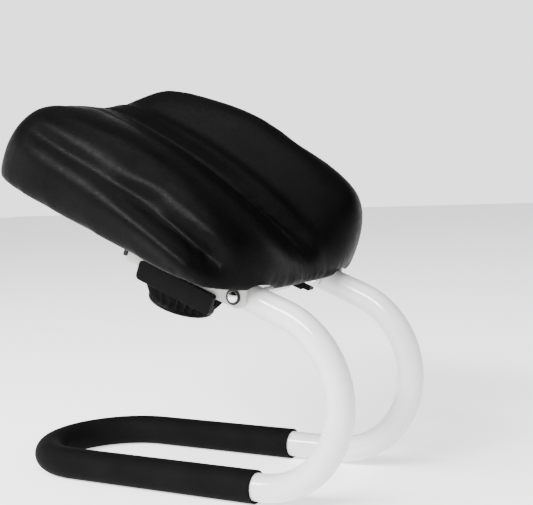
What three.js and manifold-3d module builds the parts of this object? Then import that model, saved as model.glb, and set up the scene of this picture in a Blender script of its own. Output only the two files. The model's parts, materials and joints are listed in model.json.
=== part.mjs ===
// Kneeling rocking stool: a wedge cushion on a steel plate that tilts on a bent-tube frame.
// Units are millimetres. +X is the front (knee side), +Y the left side, +Z up.
// The origin is on the floor, under the middle of the whole object.

import * as THREE from 'three';
import { mergeVertices } from 'three/addons/utils/BufferGeometryUtils.js';
import Module from 'manifold-3d';

const wasm = await Module();
wasm.setup();

// ---- driving dimensions -------------------------------------------------------------

const GAP = 0.3; // clearance between touching pieces

// bent tube frame
const TUBE_RADIUS = 11;
const TUBE_BORE = 9.5;
const SLEEVE_RADIUS = 13.1;
const SIDES = 16;
const LEG_OFFSET = 63.5; // centre line of each leg from the middle plane
const FRONT_BEND_RADIUS = 70;
const FRONT_BEND_X = 92.5;
const BACK_BEND_X = -97;
const SEAT_TILT = THREE.MathUtils.degToRad(22.5);
const PIVOT_ALONG_LEG = 38.5; // from the end of the front bend
const LEG_PAST_PIVOT = 17;
const SLEEVE_END_RIGHT_X = 87;
const SLEEVE_END_LEFT_X = 47;
const TUBE_STEPS = 60;

// pivot on each leg
const PIVOT_BOLT_RADIUS = 3;
const PIVOT_HEAD_RADIUS = 4.6;
const PIVOT_HEAD_HEIGHT = 2.8;
const PIVOT_WASHER_RADIUS = 9;
const PIVOT_NUT_RADIUS = 5.8;

// seat plate, in the tilted frame of the seat: S runs back up the slope from the pivot,
// N stands square to the seat, up from the pivot
const SHEET = 1.8;
const WEB_BOTTOM = 12.6;
const WEB_FRONT_S = -8;
const PLATE_REAR_S = 103;
const FLANGE_OUTSIDE = 78.3;
const EAR_RADIUS = 7.5;
const EAR_CENTRE_S = -3.5;
const FLANGE_REAR_N = -13;

// black blocks over the flanges
const BLOCK_FRONT_S = 14;
const BLOCK_REAR_S = 87;
const BLOCK_TOP = -5;
const BLOCK_BOTTOM = -21;
const BLOCK_INSIDE = 70;
const BLOCK_OUTSIDE = 83.5;
const BLOCK_LEAF_S = 19.5; // the inner leaf starts behind the leg's end

// tension adjuster under the seat
const ADJUSTER_S = 91;
const THREAD_RADIUS = 4;
const CUP_RADIUS = 12;
const ARM_TOP = -12;
const ARM_THICKNESS = 2.5;
const ARM_HALF_WIDTH = 20;
const KNOB_TOP = -20;
const KNOB_BOTTOM = -58;
const KNOB_TOP_RADIUS = 43.5;
const KNOB_BOTTOM_RADIUS = 27.5;
const KNOB_FLUTES = 14;
const TIE_BAR_S = 12;
const TIE_BAR_N = -1;
const TIE_BAR_RADIUS = 4;
const STOP_BOLT_S = 38;
const BUFFER_S = 60;
const BUFFER_Y = 13;
const BUFFER_TOP = 6.8;

// cushion and its board
const BOARD_THICKNESS = 8;
const CUSHION_FRONT_S = -17;
const CUSHION_REAR_S = 249;
const CUSHION_WIDEST_S = 50;
const CUSHION_HALF_WIDTH = 120;
const CUSHION_REAR_HALF_WIDTH = 106;
const CUSHION_FRONT_ROUNDING = 2.8; // powers of the front and rear half outlines
const CUSHION_REAR_ROUNDING = 8;
const CUSHION_BOTTOM = 8;
const LOBE_PEAK_N = 97; // highest point of each side lobe, and how far back it lies
const LOBE_PEAK_S = 140;
const LOBE_FALL = 0.0014; // fall of the lobes away from there, per millimetre squared
const VALLEY_DEPTH = 28; // of the middle valley below the lobes
const OUTLINE_POINTS = 40;
const BOARD_INSET = 16;
const COVER_INSET = 22;

// fasteners of the board, the blocks and the back of the plate
const BOARD_SCREW_S = [28, 92];
const BOARD_SCREW_Y = 61;
const BLOCK_SCREW_S = [26, 75];
const BLOCK_SCREW_N = -9.5;
const REAR_STUD_S = 106.5;
const REAR_STUD_Y = 76;

// ---- places worked out from them ----------------------------------------------------

const FACET = Math.cos(Math.PI / SIDES); // flat of a many-sided tube, against its radius
const BASE_HEIGHT = SLEEVE_RADIUS * FACET;
const BEND_CENTRE_Z = BASE_HEIGHT + FRONT_BEND_RADIUS;
const BEND_END = new THREE.Vector2(
  FRONT_BEND_X + FRONT_BEND_RADIUS * Math.sin(SEAT_TILT),
  BEND_CENTRE_Z + FRONT_BEND_RADIUS * Math.cos(SEAT_TILT),
);
const PIVOT = new THREE.Vector3(
  BEND_END.x - PIVOT_ALONG_LEG * Math.cos(SEAT_TILT),
  0,
  BEND_END.y + PIVOT_ALONG_LEG * Math.sin(SEAT_TILT),
);
const LEG_FACE = LEG_OFFSET + TUBE_RADIUS * FACET;
const LEG_INNER_FACE = LEG_OFFSET - TUBE_RADIUS * FACET;
const FLANGE_INSIDE = FLANGE_OUTSIDE - SHEET;
const WEB_TOP = WEB_BOTTOM + SHEET;
const COVER_BOTTOM = WEB_TOP + GAP;
const COVER_TOP = COVER_BOTTOM + 0.8;
const BOARD_BOTTOM = COVER_TOP + GAP;
const BOARD_TOP = BOARD_BOTTOM + BOARD_THICKNESS;
const ARM_BOTTOM = ARM_TOP - ARM_THICKNESS;
const CUP_BOTTOM = ARM_TOP + 2.3;
const CUP_TOP = CUP_BOTTOM + 2;

// ---- materials ----------------------------------------------------------------------

const finish = (color, roughness, metalness) => () =>
  new THREE.MeshStandardMaterial({ color, roughness, metalness });
const WHITE_PAINT = finish(0xf4f4f2, 0.25, 0);
const GREY_PAINT = finish(0xd8d8d6, 0.35, 0);
const FOAM = finish(0x232323, 0.9, 0);
const LEATHER = finish(0x121212, 0.45, 0);
const BLACK_PLASTIC = finish(0x141414, 0.4, 0);
const NYLON = finish(0xdedbd0, 0.5, 0);
const RUBBER = finish(0x1c1c1c, 0.85, 0);
const CHROME = finish(0xd0d0d0, 0.1, 1);
const ZINC = finish(0xb4b6ba, 0.35, 1);
const SPRING_STEEL = finish(0x5a5c60, 0.3, 1);
const PLYWOOD = finish(0xb58d5b, 0.7, 0);
const LINING = finish(0x1a1a1a, 0.95, 0);

// ---- solids -------------------------------------------------------------------------

/** Merge a closed geometry by position and hand it to the boolean library. */
function toSolid(geometry) {
  const bare = geometry.clone();
  bare.deleteAttribute('normal');
  bare.deleteAttribute('uv');
  const merged = mergeVertices(bare, 1e-4);
  return new wasm.Manifold(new wasm.Mesh({
    numProp: 3,
    vertProperties: new Float32Array(merged.attributes.position.array),
    triVerts: new Uint32Array(merged.index.array),
  }));
}

/** Turn a boolean result back into a drawable geometry. */
function toGeometry(solid) {
  const mesh = solid.getMesh();
  const geometry = new THREE.BufferGeometry();
  geometry.setAttribute('position', new THREE.BufferAttribute(mesh.vertProperties, 3));
  geometry.setIndex(new THREE.BufferAttribute(mesh.triVerts, 1));
  geometry.computeVertexNormals();
  return geometry;
}

/** Add the extra geometries to the first and cut the tools out of the result. */
function carve(geometry, tools, extras = []) {
  let solid = toSolid(geometry);
  for (const extra of extras) {
    solid = solid.add(toSolid(extra));
  }
  for (const tool of tools) {
    solid = solid.subtract(toSolid(tool));
  }
  return toGeometry(solid);
}

/** A box between two corners. */
function block(x0, x1, y0, y1, z0, z1) {
  const box = new THREE.BoxGeometry(x1 - x0, y1 - y0, z1 - z0);
  return box.translate((x0 + x1) / 2, (y0 + y1) / 2, (z0 + z1) / 2);
}

/** A round bar along Y between two stations, centred on (x, z). */
function barY(radius, x, z, y0, y1, sides = 12) {
  const bar = new THREE.CylinderGeometry(radius, radius, Math.abs(y1 - y0), sides);
  return bar.translate(x, (y0 + y1) / 2, z);
}

/** A round bar along Z between two stations, centred on (x, y). */
function barZ(radius, x, y, z0, z1, sides = 12) {
  const bar = new THREE.CylinderGeometry(radius, radius, z1 - z0, sides);
  return bar.rotateX(Math.PI / 2).translate(x, y, (z0 + z1) / 2);
}

/** A washer or a nut along Y: an outer many-sided bar with a round hole. */
function ringY(outer, inner, y0, y1, sides = 16) {
  return carve(barY(outer, 0, 0, y0, y1, sides), [barY(inner, 0, 0, y0 - 1, y1 + 1)]);
}

/** A flat outline in (x, z) given depth along Y, from y0 to y1. */
function sidePlate(shape, y0, y1, curveSegments = 8) {
  const plate = new THREE.ExtrudeGeometry(shape, {
    depth: y1 - y0, bevelEnabled: false, curveSegments,
  });
  return plate.rotateX(Math.PI / 2).translate(0, y1, 0);
}

/** A many-sided outline with a flat at each side, and a hole of the same form. */
function tubeSection(outer, inner) {
  const corner = (radius) => (_, i) => {
    const angle = (2 * Math.PI * (i + 0.5)) / SIDES;
    return new THREE.Vector2(radius * Math.cos(angle), radius * Math.sin(angle));
  };
  const section = new THREE.Shape(Array.from({ length: SIDES }, corner(outer)));
  if (inner) {
    section.holes.push(new THREE.Path(Array.from({ length: SIDES }, corner(inner))));
  }
  return section;
}

// ---- the frame's centre line --------------------------------------------------------

/** An arc in space: centre + radius * (cos(angle) * u + sin(angle) * v). */
class SpaceArc extends THREE.Curve {
  constructor(centre, radius, u, v, start, end) {
    super();
    Object.assign(this, { centre, radius, u, v, start, end });
  }

  getPoint(t, target = new THREE.Vector3()) {
    const angle = this.start + (this.end - this.start) * t;
    return target.copy(this.centre)
      .addScaledVector(this.u, this.radius * Math.cos(angle))
      .addScaledVector(this.v, this.radius * Math.sin(angle));
  }
}

/** Right leg, front bend, base arm, closed back bend, base arm, front bend, left leg. */
function frameLine() {
  const line = new THREE.CurvePath();
  const x = new THREE.Vector3(1, 0, 0);
  const y = new THREE.Vector3(0, 1, 0);
  const z = new THREE.Vector3(0, 0, 1);
  const legEnd = (side) => new THREE.Vector3(
    PIVOT.x - LEG_PAST_PIVOT * Math.cos(SEAT_TILT),
    side * LEG_OFFSET,
    PIVOT.z + LEG_PAST_PIVOT * Math.sin(SEAT_TILT),
  );
  const bendEnd = (side) => new THREE.Vector3(BEND_END.x, side * LEG_OFFSET, BEND_END.y);
  const bend = (side, start, end) => new SpaceArc(
    new THREE.Vector3(FRONT_BEND_X, side * LEG_OFFSET, BEND_CENTRE_Z),
    FRONT_BEND_RADIUS, x, z, start, end,
  );
  const onBase = (px, side) => new THREE.Vector3(px, side * LEG_OFFSET, BASE_HEIGHT);
  const top = Math.PI / 2 - SEAT_TILT;
  const bottom = -Math.PI / 2;
  line.add(new THREE.LineCurve3(legEnd(-1), bendEnd(-1)));
  line.add(bend(-1, top, bottom));
  line.add(new THREE.LineCurve3(onBase(FRONT_BEND_X, -1), onBase(BACK_BEND_X, -1)));
  line.add(new SpaceArc(
    new THREE.Vector3(BACK_BEND_X, 0, BASE_HEIGHT), LEG_OFFSET, x, y, -Math.PI / 2, -1.5 * Math.PI,
  ));
  line.add(new THREE.LineCurve3(onBase(BACK_BEND_X, 1), onBase(FRONT_BEND_X, 1)));
  line.add(bend(1, bottom, top));
  line.add(new THREE.LineCurve3(bendEnd(1), legEnd(1)));
  return line;
}

/** A tube of the given section along the whole centre line. */
function alongFrame(outer, inner) {
  return new THREE.ExtrudeGeometry(tubeSection(outer, inner), {
    extrudePath: frameLine(), steps: TUBE_STEPS,
  });
}

/** The steel tube, hollow, drilled across each leg for the pivot bolts. */
function frameTube() {
  const drill = (side) => barY(
    PIVOT_BOLT_RADIUS + GAP, PIVOT.x, PIVOT.z, side * LEG_OFFSET - 15, side * LEG_OFFSET + 15,
  );
  return carve(alongFrame(TUBE_RADIUS, TUBE_BORE), [drill(-1), drill(1)]);
}

/** The foam sleeve on the base: the part of the outer skin behind its two cut ends. */
function foamSleeve() {
  const skin = toSolid(alongFrame(SLEEVE_RADIUS))
    .subtract(toSolid(alongFrame(TUBE_RADIUS + GAP)));
  const below = 60;
  const right = toSolid(block(-200, SLEEVE_END_RIGHT_X, -110, 0, -20, below));
  const left = toSolid(block(-200, SLEEVE_END_LEFT_X, 0, 110, -20, below));
  return toGeometry(skin.intersect(right.add(left)));
}

// ---- pieces in the tilted seat frame ------------------------------------------------
// There x runs forward down the slope (x = -S), z stands square to the seat (z = N),
// and the origin is the pivot, midway between the legs.

/** The stamped plate: a web with a flange down each side, the ears at the front. */
function seatPlate() {
  const ear = new THREE.Shape();
  ear.moveTo(-WEB_FRONT_S, WEB_TOP);
  ear.lineTo(-PLATE_REAR_S, WEB_TOP);
  ear.lineTo(-PLATE_REAR_S, FLANGE_REAR_N + 2);
  ear.lineTo(-PLATE_REAR_S + 2, FLANGE_REAR_N);
  ear.lineTo(-EAR_CENTRE_S, -EAR_RADIUS);
  ear.absarc(-EAR_CENTRE_S, 0, EAR_RADIUS, -Math.PI / 2, Math.PI / 6, false);
  const flange = (side) => (side > 0
    ? sidePlate(ear, FLANGE_INSIDE, FLANGE_OUTSIDE)
    : sidePlate(ear, -FLANGE_OUTSIDE, -FLANGE_INSIDE));
  const web = block(
    -PLATE_REAR_S, -WEB_FRONT_S, -FLANGE_OUTSIDE, FLANGE_OUTSIDE, WEB_BOTTOM, WEB_TOP,
  );
  const holes = [
    barY(PIVOT_BOLT_RADIUS + GAP, 0, 0, -90, 90),
    barZ(2.8, -STOP_BOLT_S, 0, WEB_BOTTOM - 1, WEB_TOP + 1),
  ];
  for (const s of BOARD_SCREW_S) {
    for (const side of [-1, 1]) {
      holes.push(barZ(2.8, -s, side * BOARD_SCREW_Y, WEB_BOTTOM - 1, WEB_TOP + 1));
    }
  }
  for (const s of BLOCK_SCREW_S) {
    holes.push(barY(2, -s, BLOCK_SCREW_N, -90, 90));
  }
  return carve(web, holes, [flange(-1), flange(1)]);
}

/** A black moulded block that grips the flange's lower edge. */
function sideBlock(side) {
  const corner = 3.5;
  const front = -BLOCK_FRONT_S;
  const rear = -BLOCK_REAR_S;
  const outline = new THREE.Shape();
  outline.moveTo(front - 1, BLOCK_TOP);
  outline.lineTo(rear + corner, BLOCK_TOP);
  outline.absarc(rear + corner, BLOCK_TOP - corner, corner, Math.PI / 2, Math.PI, false);
  outline.lineTo(rear, BLOCK_BOTTOM + corner);
  outline.absarc(rear + corner, BLOCK_BOTTOM + corner, corner, Math.PI, 1.5 * Math.PI, false);
  outline.lineTo(front - 1, BLOCK_BOTTOM);
  outline.lineTo(front, BLOCK_BOTTOM + 1);
  outline.lineTo(front, BLOCK_TOP - 1);
  const y0 = side > 0 ? BLOCK_INSIDE : -BLOCK_OUTSIDE;
  const y1 = side > 0 ? BLOCK_OUTSIDE : -BLOCK_INSIDE;
  const slotCentre = (side * (FLANGE_INSIDE + FLANGE_OUTSIDE)) / 2;
  const slotHalf = SHEET / 2 + GAP;
  const slot = block(
    rear - 5, front + 5, slotCentre - slotHalf, slotCentre + slotHalf, FLANGE_REAR_N - 1, 5,
  );
  const holes = BLOCK_SCREW_S.map(
    (s) => barY(2, -s, BLOCK_SCREW_N, side * (BLOCK_INSIDE - 1), side * (BLOCK_OUTSIDE - 2)),
  );
  const legRoom = side > 0
    ? block(-BLOCK_LEAF_S, 0, 0, FLANGE_INSIDE - 1, BLOCK_BOTTOM - 1, 0)
    : block(-BLOCK_LEAF_S, 0, 1 - FLANGE_INSIDE, 0, BLOCK_BOTTOM - 1, 0);
  return carve(sidePlate(outline, y0, y1, 4), [slot, legRoom, ...holes]);
}

/** A screw from inside the plate through the block's inner leaf and the flange. */
function blockScrew(side, s) {
  const head = barY(3.2, -s, BLOCK_SCREW_N, side * (BLOCK_INSIDE - 2.3), side * (BLOCK_INSIDE - GAP));
  const shank = barY(
    1.7, -s, BLOCK_SCREW_N, side * (BLOCK_INSIDE - 1), side * (BLOCK_OUTSIDE - 2.5), 10,
  );
  return carve(head, [], [shank]);
}

/** The domed pivot bolt, its head outside the ear. */
function pivotBolt(side) {
  const headFace = FLANGE_OUTSIDE + GAP + 0.8 + GAP;
  const profile = [new THREE.Vector2(0, LEG_INNER_FACE - 7)];
  profile.push(new THREE.Vector2(PIVOT_BOLT_RADIUS, LEG_INNER_FACE - 7));
  profile.push(new THREE.Vector2(PIVOT_BOLT_RADIUS, headFace));
  for (let i = 0; i <= 5; i += 1) {
    const angle = (i / 5) * (Math.PI / 2);
    profile.push(new THREE.Vector2(
      i === 5 ? 0 : PIVOT_HEAD_RADIUS * Math.cos(angle),
      headFace + 0.6 * (i > 0) + (PIVOT_HEAD_HEIGHT - 0.6) * Math.sin(angle),
    ));
  }
  const bolt = new THREE.LatheGeometry(profile, 16);
  return carve(side > 0 ? bolt : bolt.rotateX(Math.PI), []);
}

/** The welded arm that carries the adjuster: it steps down from the tie bar. */
function springArm() {
  const seam = TIE_BAR_N - TIE_BAR_RADIUS - GAP;
  const side = new THREE.Shape([
    new THREE.Vector2(-6, seam),
    new THREE.Vector2(-6, seam - ARM_THICKNESS),
    new THREE.Vector2(-19, seam - ARM_THICKNESS),
    new THREE.Vector2(-30, ARM_BOTTOM),
    new THREE.Vector2(-PLATE_REAR_S, ARM_BOTTOM),
    new THREE.Vector2(-PLATE_REAR_S, ARM_TOP),
    new THREE.Vector2(-31, ARM_TOP),
    new THREE.Vector2(-20, seam),
  ]);
  const through = [ARM_BOTTOM - 1, ARM_TOP + 1];
  return carve(sidePlate(side, -ARM_HALF_WIDTH, ARM_HALF_WIDTH), [
    barZ(THREAD_RADIUS + GAP, -ADJUSTER_S, 0, ...through),
    barZ(4.2, -STOP_BOLT_S, 0, ...through),
    barZ(2.3, -BUFFER_S, -BUFFER_Y, ...through),
    barZ(2.3, -BUFFER_S, BUFFER_Y, ...through),
  ]);
}

/** A rubber buffer with a push-in stem, standing on the arm. */
function stopBuffer(side) {
  const y = side * BUFFER_Y;
  const pad = barZ(6, -BUFFER_S, y, ARM_TOP + GAP, BUFFER_TOP);
  return carve(pad, [], [barZ(2, -BUFFER_S, y, ARM_BOTTOM, ARM_TOP + 2, 10)]);
}

/** A shoulder bolt whose head under the arm limits the upward tilt. */
function stopBolt() {
  const head = barZ(4.8, -STOP_BOLT_S, 0, ARM_BOTTOM - GAP - 3.5, ARM_BOTTOM - GAP, 6);
  return carve(head, [], [barZ(2.5, -STOP_BOLT_S, 0, ARM_BOTTOM - 2, WEB_TOP, 12)]);
}

/** A hexagon nut along N, with a running hole. */
function nutZ(radius, hole, s, z0, z1) {
  return carve(barZ(radius, -s, 0, z0, z1, 6), [barZ(hole, -s, 0, z0 - 1, z1 + 1)]);
}

/** The threaded spindle with the thrust collar that the spring cup sits on. */
function adjusterSpindle() {
  const bar = barZ(THREAD_RADIUS, -ADJUSTER_S, 0, KNOB_BOTTOM + 8, CUP_BOTTOM - GAP);
  return carve(bar, [], [barZ(2, -ADJUSTER_S, 0, CUP_BOTTOM - 1, CUP_TOP, 10)]);
}

/** The dished cup under the spring. */
function springCup() {
  const profile = [
    [2.3, CUP_BOTTOM], [CUP_RADIUS, CUP_BOTTOM], [CUP_RADIUS, CUP_TOP + 1.5],
    [CUP_RADIUS - 1.2, CUP_TOP + 1.5], [CUP_RADIUS - 1.2, CUP_TOP], [2.3, CUP_TOP],
    [2.3, CUP_BOTTOM],
  ].map(([r, h]) => new THREE.Vector2(r, h));
  const cup = new THREE.LatheGeometry(profile, 16).rotateX(Math.PI / 2);
  return carve(cup.translate(-ADJUSTER_S, 0, 0), []);
}

/** The compression spring between the cup and the web. */
function tensionSpring() {
  const turns = 3.5;
  const wire = 1.2;
  const radius = 8.6;
  const low = CUP_TOP + GAP + wire;
  const high = WEB_BOTTOM - GAP - wire;
  class Helix extends THREE.Curve {
    getPoint(t, target = new THREE.Vector3()) {
      const angle = 2 * Math.PI * turns * t;
      return target.set(
        radius * Math.cos(angle) - ADJUSTER_S, radius * Math.sin(angle), low + (high - low) * t,
      );
    }
  }
  const section = new THREE.Shape();
  section.absarc(0, 0, wire, 0, 2 * Math.PI, false);
  return new THREE.ExtrudeGeometry(section, {
    extrudePath: new Helix(), steps: 44, curveSegments: 4,
  });
}

/** The fluted knob: a hollow cone open at the top, a hub in the middle. */
function knob() {
  const wall = 3;
  const lip = 5;
  const profile = [
    [THREAD_RADIUS + GAP, KNOB_BOTTOM + 10], [16, KNOB_BOTTOM + 10], [16, KNOB_BOTTOM],
    [KNOB_BOTTOM_RADIUS - 3, KNOB_BOTTOM], [KNOB_BOTTOM_RADIUS, KNOB_BOTTOM + 3],
    [KNOB_TOP_RADIUS, KNOB_TOP - lip], [KNOB_TOP_RADIUS, KNOB_TOP],
    [KNOB_TOP_RADIUS - wall - 4, KNOB_TOP], [KNOB_TOP_RADIUS - wall - 4, KNOB_TOP - lip],
    [KNOB_BOTTOM_RADIUS - wall - 3, KNOB_BOTTOM + 14], [THREAD_RADIUS + GAP, KNOB_BOTTOM + 14],
    [THREAD_RADIUS + GAP, KNOB_BOTTOM + 10],
  ].map(([r, h]) => new THREE.Vector2(r, h));
  const body = new THREE.LatheGeometry(profile, 42).rotateX(Math.PI / 2);
  const slope = Math.atan2(
    KNOB_TOP_RADIUS - KNOB_BOTTOM_RADIUS, KNOB_TOP - lip - KNOB_BOTTOM - 3,
  );
  const middle = (KNOB_TOP_RADIUS + KNOB_BOTTOM_RADIUS) / 2 + 1.6;
  const tools = Array.from({ length: KNOB_FLUTES }, (_, i) => {
    const flute = new THREE.CylinderGeometry(3, 3, 60, 6).rotateX(Math.PI / 2);
    flute.rotateY(slope).translate(middle, 0, (KNOB_TOP + KNOB_BOTTOM) / 2);
    return flute.rotateZ((2 * Math.PI * i) / KNOB_FLUTES);
  });
  return toGeometry(toSolid(toGeometry(tools.reduce(
    (solid, tool) => solid.subtract(toSolid(tool)), toSolid(body),
  ))).translate([-ADJUSTER_S, 0, 0]));
}

/** The flat cap that closes the knob's underside. */
function knobCap() {
  return barZ(16 - GAP, -ADJUSTER_S, 0, KNOB_BOTTOM + 1, KNOB_BOTTOM + 3, 28);
}

/** A point of the seat outline: two half super-ellipses that meet at the widest station. */
function outlinePoint(turn, inset = 0) {
  const angle = 2 * Math.PI * turn;
  const ahead = Math.cos(angle);
  const across = Math.sin(angle);
  const front = ahead > 0;
  const power = 2 / (front ? CUSHION_FRONT_ROUNDING : CUSHION_REAR_ROUNDING);
  const reach = (front ? CUSHION_WIDEST_S - CUSHION_FRONT_S : CUSHION_REAR_S - CUSHION_WIDEST_S);
  const x = Math.sign(ahead) * (reach - inset) * Math.abs(ahead) ** power;
  const narrowing = front ? 0 : (-x / reach) * (CUSHION_HALF_WIDTH - CUSHION_REAR_HALF_WIDTH);
  const width = CUSHION_HALF_WIDTH - inset - narrowing;
  const y = Math.sign(across) * width * Math.abs(across) ** power;
  return new THREE.Vector2(x - CUSHION_WIDEST_S, y);
}

/** A flat board of the seat outline, drawn in by the inset. */
function seatSlab(inset, z0, z1) {
  const outline = new THREE.Shape(
    Array.from({ length: OUTLINE_POINTS }, (_, i) => outlinePoint(i / OUTLINE_POINTS, inset)),
  );
  const slab = new THREE.ExtrudeGeometry(outline, { depth: z1 - z0, bevelEnabled: false });
  return slab.translate(0, 0, z0);
}

/** Height of the cushion's top: two arched side lobes with a valley between them. */
function cushionTop(x, y) {
  const lobes = LOBE_PEAK_N - LOBE_FALL * (-x - LOBE_PEAK_S) ** 2;
  const side = THREE.MathUtils.smoothstep(Math.abs(y), 5, 70);
  const fade = 1 - 0.7 * THREE.MathUtils.smoothstep(-x, LOBE_PEAK_S, CUSHION_REAR_S);
  return lobes - VALLEY_DEPTH * (1 - side) * fade;
}

/** The cushion: rings of the seat outline raised to a rounded top, over the board. */
function seatCushion() {
  const profile = [
    [0, 0], [0.96, 0], [1, 0.1], [1, 0.45], [0.975, 0.72], [0.92, 0.9], [0.8, 1],
    [0.6, 1], [0.4, 1], [0.2, 1], [0, 1],
  ].map(([r, h]) => new THREE.Vector2(r, h));
  const wedge = new THREE.LatheGeometry(profile, OUTLINE_POINTS);
  const place = wedge.attributes.position;
  for (let i = 0; i < place.count; i += 1) {
    const reach = Math.hypot(place.getX(i), place.getZ(i));
    const turn = Math.atan2(place.getX(i), place.getZ(i)) / (2 * Math.PI);
    const edge = outlinePoint(turn);
    const x = reach * (edge.x + CUSHION_WIDEST_S) - CUSHION_WIDEST_S;
    const y = reach * edge.y;
    const height = cushionTop(x, y) - CUSHION_BOTTOM;
    place.setXYZ(i, x, y, CUSHION_BOTTOM + height * place.getY(i));
  }
  const legRoom = (side) => block(
    -10, 30, side > 0 ? 50 : -84, side > 0 ? 84 : -50, 0, TUBE_RADIUS + 1.4,
  );
  const plateRoom = block(
    -PLATE_REAR_S - 8, 1 - WEB_FRONT_S, -FLANGE_OUTSIDE - 2, FLANGE_OUTSIDE + 2, 0, COVER_BOTTOM,
  );
  const boardRoom = seatSlab(BOARD_INSET - GAP, 0, BOARD_TOP + 1.6);
  return carve(wedge, [boardRoom, plateRoom, legRoom(-1), legRoom(1)]);
}

/** The plywood board, bored for the T-nuts and the rear studs. */
function seatBoard() {
  const holes = [];
  for (const side of [-1, 1]) {
    for (const s of BOARD_SCREW_S) {
      holes.push(barZ(4.3, -s, side * BOARD_SCREW_Y, BOARD_BOTTOM - 1, BOARD_TOP + 1));
    }
    holes.push(barZ(2.5, -REAR_STUD_S, side * REAR_STUD_Y, BOARD_BOTTOM - 1, BOARD_TOP - 2, 12));
  }
  return carve(seatSlab(BOARD_INSET, BOARD_BOTTOM, BOARD_TOP), holes);
}

/** The thin lining under the board. */
function dustCover() {
  const holes = [];
  for (const side of [-1, 1]) {
    for (const s of BOARD_SCREW_S) {
      holes.push(barZ(3, -s, side * BOARD_SCREW_Y, 10, 20, 12));
    }
    holes.push(barZ(2.5, -REAR_STUD_S, side * REAR_STUD_Y, 10, 20, 12));
  }
  return carve(seatSlab(COVER_INSET, COVER_BOTTOM, COVER_TOP), holes);
}

/** A pan-head screw up through the web into its T-nut. */
function boardScrew(side, s) {
  const y = side * BOARD_SCREW_Y;
  const head = barZ(4.6, -s, y, WEB_BOTTOM - GAP - 2.6, WEB_BOTTOM - GAP);
  return carve(head, [], [barZ(2.5, -s, y, WEB_BOTTOM - 1, BOARD_TOP - 0.5, 12)]);
}

/** A T-nut let into the board from above. */
function boardNut(side, s) {
  const y = side * BOARD_SCREW_Y;
  const barrel = barZ(4, -s, y, BOARD_BOTTOM + 2, BOARD_TOP + 0.5);
  const flange = barZ(8, -s, y, BOARD_TOP + GAP, BOARD_TOP + 1.2);
  return carve(barrel, [barZ(2.8, -s, y, 0, BOARD_TOP + 3, 12)], [flange]);
}

/** A slim stud that hangs from the board just behind the plate. */
function rearStud(side) {
  return barZ(2.2, -REAR_STUD_S, side * REAR_STUD_Y, -10, BOARD_TOP - 2.5, 12);
}

// ---- assembly -----------------------------------------------------------------------

const stool = new THREE.Group();
const tilted = new THREE.Group();
tilted.position.copy(PIVOT);
tilted.rotation.y = SEAT_TILT;
stool.add(tilted);

/** Name a piece, give it its finish and hang it in a group. */
function place(group, name, geometry, material) {
  const mesh = new THREE.Mesh(geometry, material());
  mesh.name = name;
  group.add(mesh);
}

place(stool, 'frame_tube', frameTube(), WHITE_PAINT);
place(stool, 'foam_sleeve', foamSleeve(), FOAM);
place(tilted, 'tie_bar', barY(
  TIE_BAR_RADIUS, -TIE_BAR_S, TIE_BAR_N, -LEG_INNER_FACE + GAP, LEG_INNER_FACE - GAP, 16,
), WHITE_PAINT);
place(tilted, 'spring_arm', springArm(), WHITE_PAINT);
place(tilted, 'arm_nut', nutZ(
  8, THREAD_RADIUS + GAP, ADJUSTER_S, ARM_BOTTOM - GAP - 4, ARM_BOTTOM - GAP,
), ZINC);
place(tilted, 'adjuster_spindle', adjusterSpindle(), ZINC);
place(tilted, 'spring_cup', springCup(), ZINC);
place(tilted, 'tension_spring', tensionSpring(), SPRING_STEEL);
place(tilted, 'tension_knob', knob(), BLACK_PLASTIC);
place(tilted, 'knob_nut', nutZ(
  7.4, THREAD_RADIUS + GAP, ADJUSTER_S, KNOB_BOTTOM + 14.3, KNOB_BOTTOM + 20,
), ZINC);
place(tilted, 'knob_cap', knobCap(), BLACK_PLASTIC);
place(tilted, 'seat_plate', seatPlate(), GREY_PAINT);
place(tilted, 'stop_bolt', stopBolt(), ZINC);
place(tilted, 'stop_nut', nutZ(
  5, 2.8, STOP_BOLT_S, WEB_BOTTOM - GAP - 4, WEB_BOTTOM - GAP,
), ZINC);
place(tilted, 'seat_board', seatBoard(), PLYWOOD);
place(tilted, 'dust_cover', dustCover(), LINING);
place(tilted, 'seat_cushion', seatCushion(), LEATHER);

for (const [name, side] of [['right', -1], ['left', 1]]) {
  const span = (low, high) => (side > 0 ? [low, high] : [-high, -low]);
  place(tilted, `pivot_bolt_${name}`, pivotBolt(side), CHROME);
  place(tilted, `pivot_bush_${name}`, ringY(
    PIVOT_WASHER_RADIUS, PIVOT_BOLT_RADIUS + GAP, ...span(LEG_FACE + GAP, FLANGE_INSIDE - GAP),
  ), NYLON);
  place(tilted, `pivot_washer_${name}`, ringY(
    6.2, PIVOT_BOLT_RADIUS + GAP, ...span(FLANGE_OUTSIDE + GAP, FLANGE_OUTSIDE + GAP + 0.8),
  ), ZINC);
  place(tilted, `pivot_nut_${name}`, ringY(
    PIVOT_NUT_RADIUS, PIVOT_BOLT_RADIUS + GAP, ...span(LEG_INNER_FACE - 5, LEG_INNER_FACE - GAP), 6,
  ), ZINC);
  place(tilted, `side_block_${name}`, sideBlock(side), BLACK_PLASTIC);
  place(tilted, `stop_buffer_${name}`, stopBuffer(side), RUBBER);
  place(tilted, `rear_stud_${name}`, rearStud(side), ZINC);
  for (const [i, end] of ['front', 'rear'].entries()) {
    place(tilted, `block_screw_${name}_${end}`, blockScrew(side, BLOCK_SCREW_S[i]), ZINC);
    place(tilted, `board_screw_${name}_${end}`, boardScrew(side, BOARD_SCREW_S[i]), ZINC);
    place(tilted, `board_nut_${name}_${end}`, boardNut(side, BOARD_SCREW_S[i]), ZINC);
  }
}

export default stool;
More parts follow.
